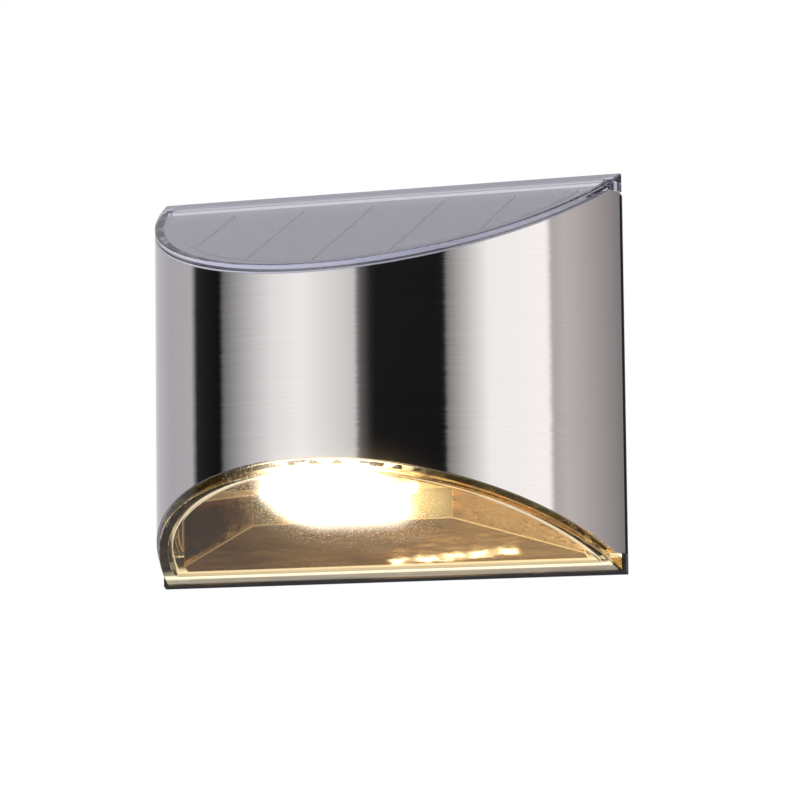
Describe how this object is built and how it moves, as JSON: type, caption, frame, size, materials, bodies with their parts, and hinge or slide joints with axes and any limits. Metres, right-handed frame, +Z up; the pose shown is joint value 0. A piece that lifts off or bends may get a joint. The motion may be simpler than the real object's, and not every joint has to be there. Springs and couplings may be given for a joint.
{
  "type": "solar deck light",
  "caption": "Half-round wall-mounted solar deck light with a brushed steel shell, a sloping clear solar cover and a sloping lens that lights the wall and step below.",
  "frame": {"origin": "middle of the flat back face that lies on the wall", "axes": "+Y into the wall, +X to the right of someone facing the light, +Z up"},
  "size_m": [0.1204, 0.052, 0.0956],
  "materials": {
    "brushed_shell": "bright brushed stainless sheet, grain running round the shell",
    "clear_cover": "clear moulded polycarbonate",
    "clear_lens": "clear moulded polycarbonate, faintly warm",
    "panel_base": "dark epoxy panel",
    "solar_cell": "dark blue silicon cells",
    "foam": "closed-cell foam tape",
    "silicone": "soft silicone",
    "black_abs": "fine-textured black moulding",
    "chrome_reflector": "vacuum-metallised moulding",
    "white_board": "white solder mask",
    "led": "warm white phosphor",
    "steel_screw": "plated steel",
    "battery_can": null,
    "contact_metal": "nickel-plated spring sheet",
    "green_board": "green solder mask",
    "chip_resin": "moulded resin",
    "ferrite": "ferrite with a sleeve",
    "capacitor_can": "aluminium can",
    "switch_case": "plated case",
    "knob_plastic": "black moulding",
    "red_wire": "red insulation",
    "black_wire": "black insulation"
  },
  "bodies": {
    "casing": {"shell": "brushed_shell", "top_cover": "clear_cover", "solar_panel": "panel_base", "solar_cells": "solar_cell", "panel_pad": "foam", "lens": "clear_lens", "lens_seal": "silicone", "core_housing": "black_abs", "reflector": "chrome_reflector", "led_board": "white_board", "leds": "led", "back_cover": "black_abs", "back_seal": "silicone", "back_screws": "steel_screw", "battery": "battery_can", "battery_contact_positive": "contact_metal", "battery_contact_negative": "contact_metal", "main_board": "green_board", "main_board_screws": "steel_screw", "control_chip": "chip_resin", "inductor": "ferrite", "capacitor": "capacitor_can", "board_parts": "chip_resin", "switch_body": "switch_case", "panel_wire_red": "red_wire", "panel_wire_black": "black_wire", "battery_wire_red": "red_wire", "battery_wire_black": "black_wire", "led_wire_red": "red_wire", "led_wire_black": "black_wire"},
    "battery_door": {"battery_door": "black_abs", "door_seal": "silicone", "door_screws": "steel_screw"},
    "switch_knob": {"switch_knob": "knob_plastic"}
  },
  "joints": [
    {"name": "switch_slide", "type": "slide", "parent": "casing", "child": "switch_knob", "axis": [-1, 0, 0], "range_m": [0, 0.003]},
    {"name": "battery_door_lift", "type": "slide", "parent": "casing", "child": "battery_door", "axis": [0, 1, 0], "range_m": [0, 0.025]}
  ]
}
